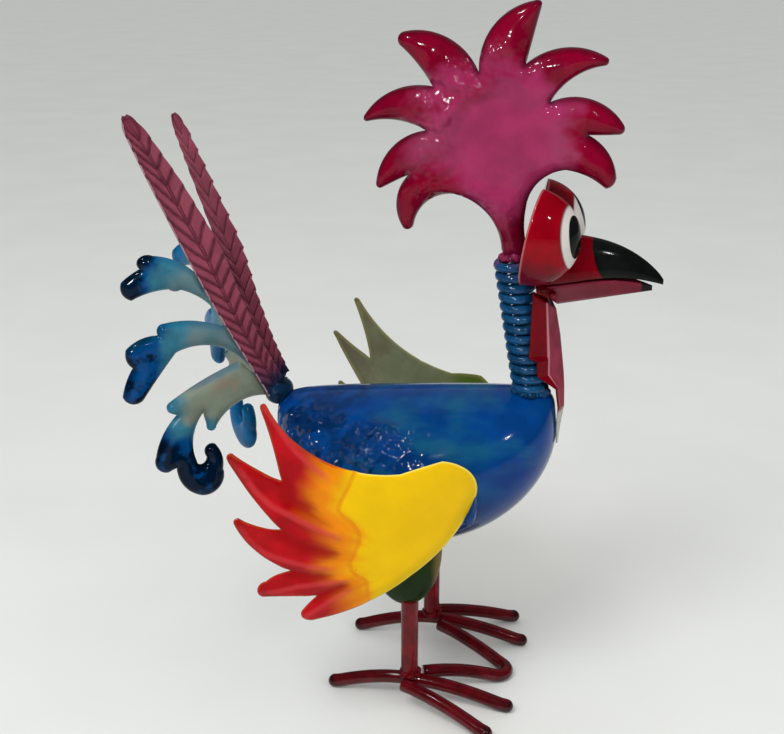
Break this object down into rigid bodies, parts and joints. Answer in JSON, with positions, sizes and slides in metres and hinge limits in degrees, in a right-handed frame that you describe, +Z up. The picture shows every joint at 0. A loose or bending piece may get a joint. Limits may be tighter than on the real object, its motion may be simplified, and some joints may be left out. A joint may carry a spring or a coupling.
{
  "type": "metal rooster statue",
  "caption": "Painted sheet-metal rooster that stands on rod feet, with a leaf-shaped crest, a coiled wire neck, spread wings and a tail of toothed plumes and curls.",
  "frame": {"origin": "on the ground, under the middle of the length and width", "axes": "+Z up, +X the way the rooster faces, so its right side is at -Y"},
  "size_m": [0.3556, 0.2584, 0.4826],
  "materials": {
    "cobalt_enamel": "gloss",
    "magenta_enamel": "gloss",
    "red_enamel": "gloss",
    "yellow_enamel": "gloss",
    "maroon_paint": "satin",
    "green_enamel": "gloss",
    "crimson_enamel": "gloss",
    "teal_enamel": "gloss"
  },
  "bodies": {
    "root": {"body": "cobalt_enamel", "crest": "magenta_enamel", "eye_dome_left": "red_enamel", "eye_dome_right": "red_enamel", "leg_left": "crimson_enamel", "leg_right": "crimson_enamel", "long_toe_left": "crimson_enamel", "long_toe_right": "crimson_enamel", "lower_beak": "red_enamel", "lower_curl_left": "teal_enamel", "lower_curl_right": "teal_enamel", "middle_curl_left": "teal_enamel", "middle_curl_right": "teal_enamel", "neck_coil": "cobalt_enamel", "neck_weld": "cobalt_enamel", "outer_toe_left": "crimson_enamel", "outer_toe_right": "crimson_enamel", "plume_left": "maroon_paint", "plume_right": "maroon_paint", "tail_collar": "cobalt_enamel", "thigh_left": "green_enamel", "thigh_right": "green_enamel", "toe_loop": "crimson_enamel", "upper_beak": "red_enamel", "upper_curl_left": "teal_enamel", "upper_curl_right": "teal_enamel", "wattle": "red_enamel", "wing_left": "yellow_enamel", "wing_right": "yellow_enamel", "wing_weld_left": "cobalt_enamel", "wing_weld_right": "cobalt_enamel"}
  },
  "joints": []
}
